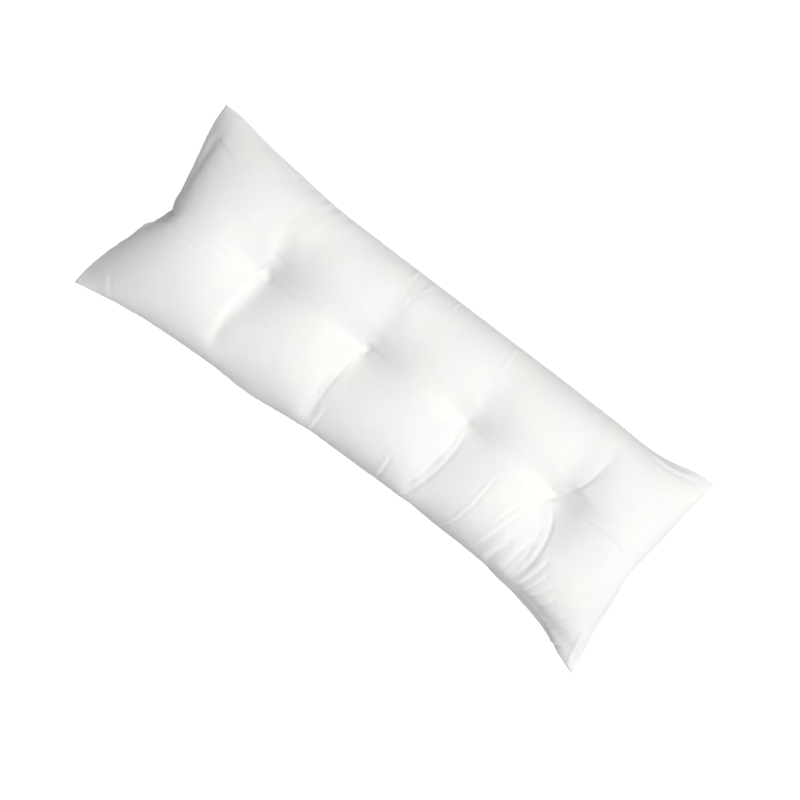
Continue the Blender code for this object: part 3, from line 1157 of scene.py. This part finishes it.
class PILLOW_OT_close_opening(bpy.types.Operator):
    """Lay the short stitches that close the opening in the right end seam"""

    bl_idname = "pillow.close_opening"
    bl_label = "Close the Opening"

    # Where the opening's middle lies on the cut cloth, and how a stitch lies in the seam. Its lifts and its
    # radius are in thicknesses of the tufting thread.
    OPENING_ACROSS = -0.069
    SPACING = 0.0034
    REACH = 0.006
    LEAN = 0.001
    SEAM_LIFT = 0.6
    END_LIFT = 0.3
    END_CLEARANCE = 0.0004
    TURN_SHARE = 0.6
    RADIUS = 0.4

    def execute(self, context):
        settings = context.scene.pillow_thread
        cover = bpy.data.objects["pillow_cover"]
        half_length = context.scene.pillow_cover.cut_length / 2
        threads = bmesh.new()
        for number in range(settings.closing_stitches):
            across = self.OPENING_ACROSS + (number - settings.closing_stitches / 2) * self.SPACING
            top, seam, bottom = (
                cover_point(cover, half_length - inset, across + lean, under)
                for inset, lean, under in (
                    (self.REACH, self.LEAN, False),
                    (0.0, 0.0, False),
                    (self.REACH, -self.LEAN, True),
                )
            )
            seam += Vector((settings.thickness * self.SEAM_LIFT, 0, 0))
            top += Vector((self.END_CLEARANCE, 0, settings.thickness * self.END_LIFT))
            bottom += Vector((self.END_CLEARANCE, 0, -settings.thickness * self.END_LIFT))
            turns = [blend(end, seam, self.TURN_SHARE) for end in (top, bottom)]
            path = [top, turns[0], seam, turns[1], bottom]
            thread_along(threads, path, settings.thickness * self.RADIUS)
        thread_piece("closing_stitches", threads, bpy.data.materials["cotton_thread"])
        return {"FINISHED"}


class PILLOW_OT_set_stage(bpy.types.Operator):
    """Set the floor, the studio light and the camera"""

    bl_idname = "pillow.set_stage"
    bl_label = "Set the Stage"

    # The camera aims at a point over the frame's origin, which lies at AIM_PIXEL in the picture.
    AIM_HEIGHT = 0.08
    AIM_PIXEL = (402.5, 389.5)
    IMAGE_WIDTH = 800
    SENSOR_WIDTH = 36.0

    # ROOM_SLOPE is how much the room's light grows towards +X, +Y and +Z, as shares of its strength.
    FLOOR_SIZE = 40.0
    ROOM_SLOPE = (0.54, 0.05, 0.35)
    ROOM_COLOUR = (0.955, 0.955, 1.0)
    LAMP_DIRECTION = (0.43, 0.21, 1.0)
    LAMP_COLOUR = (1.0, 0.995, 0.88)

    def execute(self, context):
        settings = context.scene.pillow_stage
        self.lay_floor(settings)
        self.set_light(context, settings)
        self.set_camera(context, settings)
        context.scene.view_settings.view_transform = "Standard"
        return {"FINISHED"}

    def lay_floor(self, settings):
        material, tree, shader = shaded_material("studio_floor", Specular_IOR_Level=0.0, Roughness=1.0)
        shader.inputs["Base Color"].default_value = (*settings.floor_colour, 1)
        shader.inputs["Emission Color"].default_value = (1, 1, 1, 1)
        seen = node(tree, "ShaderNodeLightPath")
        glow = maths(tree, "MULTIPLY", seen.outputs["Is Camera Ray"], settings.floor_glow)
        link(tree, glow, shader.inputs["Emission Strength"])
        mesh = bpy.data.meshes.new("studio_floor")
        half = self.FLOOR_SIZE / 2
        corners = [(-half, -half, 0), (half, -half, 0), (half, half, 0), (-half, half, 0)]
        mesh.from_pydata(corners, [], [(0, 1, 2, 3)])
        mesh.materials.append(material)
        floor = placed("studio_floor", mesh)

    def set_light(self, context, settings):
        world = bpy.data.worlds.new("studio_room")
        context.scene.world = world
        world.use_nodes = True
        tree = world.node_tree
        background = tree.nodes["Background"]
        background.inputs["Color"].default_value = (*self.ROOM_COLOUR, 1)
        direction = node(tree, "ShaderNodeTexCoord").outputs["Generated"]
        slope = node(tree, "ShaderNodeVectorMath")
        slope.operation = "DOT_PRODUCT"
        slope.inputs[1].default_value = [settings.room_light * share for share in self.ROOM_SLOPE]
        link(tree, direction, slope.inputs[0])
        strength = maths(tree, "ADD", slope.outputs["Value"], settings.room_light)
        link(tree, strength, background.inputs["Strength"])
        light = bpy.data.lights.new("studio_lamp", "SUN")
        light.energy = settings.lamp_light
        light.angle = settings.lamp_spread
        light.color = self.LAMP_COLOUR
        lamp = placed("studio_lamp", light)
        lamp.rotation_euler = Vector(self.LAMP_DIRECTION).to_track_quat("Z", "Y").to_euler()

    def set_camera(self, context, settings):
        data = bpy.data.cameras.new("photo_camera")
        data.sensor_width = self.SENSOR_WIDTH
        data.lens = self.SENSOR_WIDTH * settings.camera_distance / settings.view_width
        data.shift_x = (self.IMAGE_WIDTH / 2 - self.AIM_PIXEL[0]) / self.IMAGE_WIDTH
        data.shift_y = (self.AIM_PIXEL[1] - self.IMAGE_WIDTH / 2) / self.IMAGE_WIDTH
        camera = placed("photo_camera", data)
        back = Vector((-math.sin(settings.camera_tilt), 0, math.cos(settings.camera_tilt)))
        level = Vector((back.z, 0, -back.x))
        turn = Matrix.Rotation(settings.camera_roll, 3, back)
        right = turn @ level
        camera.matrix_world = Matrix((right, back.cross(right), back)).transposed().to_4x4()
        camera.location = Vector((0, 0, self.AIM_HEIGHT)) + back * settings.camera_distance
        context.scene.camera = camera


class PILLOW_PT_panel(bpy.types.Panel):
    """The pillow's settings and steps in the sidebar"""

    bl_idname = "PILLOW_PT_panel"
    bl_label = "Tufted Body Pillow"
    bl_space_type = "VIEW_3D"
    bl_region_type = "UI"
    bl_category = "Pillow"

    def draw(self, context):
        for name, operators in (
            ("pillow_cover", (PILLOW_OT_fill_cover,)),
            ("pillow_thread", (PILLOW_OT_tie_tufts, PILLOW_OT_close_opening)),
            ("pillow_stage", (PILLOW_OT_set_stage,)),
        ):
            settings = getattr(context.scene, name)
            box = self.layout.box()
            for key in settings.__annotations__:
                box.prop(settings, key)
            for operator in operators:
                box.operator(operator.bl_idname)


SETTINGS = {
    "pillow_cover": PillowCoverSettings,
    "pillow_thread": PillowThreadSettings,
    "pillow_stage": PillowStageSettings,
}
OPERATORS = (
    PILLOW_OT_fill_cover,
    PILLOW_OT_tie_tufts,
    PILLOW_OT_close_opening,
    PILLOW_OT_set_stage,
)
CLASSES = (*SETTINGS.values(), *OPERATORS, PILLOW_PT_panel)


def register():
    for each in CLASSES:
        bpy.utils.register_class(each)
    for name, group in SETTINGS.items():
        setattr(bpy.types.Scene, name, PointerProperty(type=group))


def unregister():
    for name in SETTINGS:
        delattr(bpy.types.Scene, name)
    for each in reversed(CLASSES):
        bpy.utils.unregister_class(each)


def main():
    register()
    bpy.ops.pillow.fill_cover()
    bpy.ops.pillow.tie_tufts()
    bpy.ops.pillow.close_opening()
    bpy.ops.pillow.set_stage()


if __name__ == "__main__":
    main()
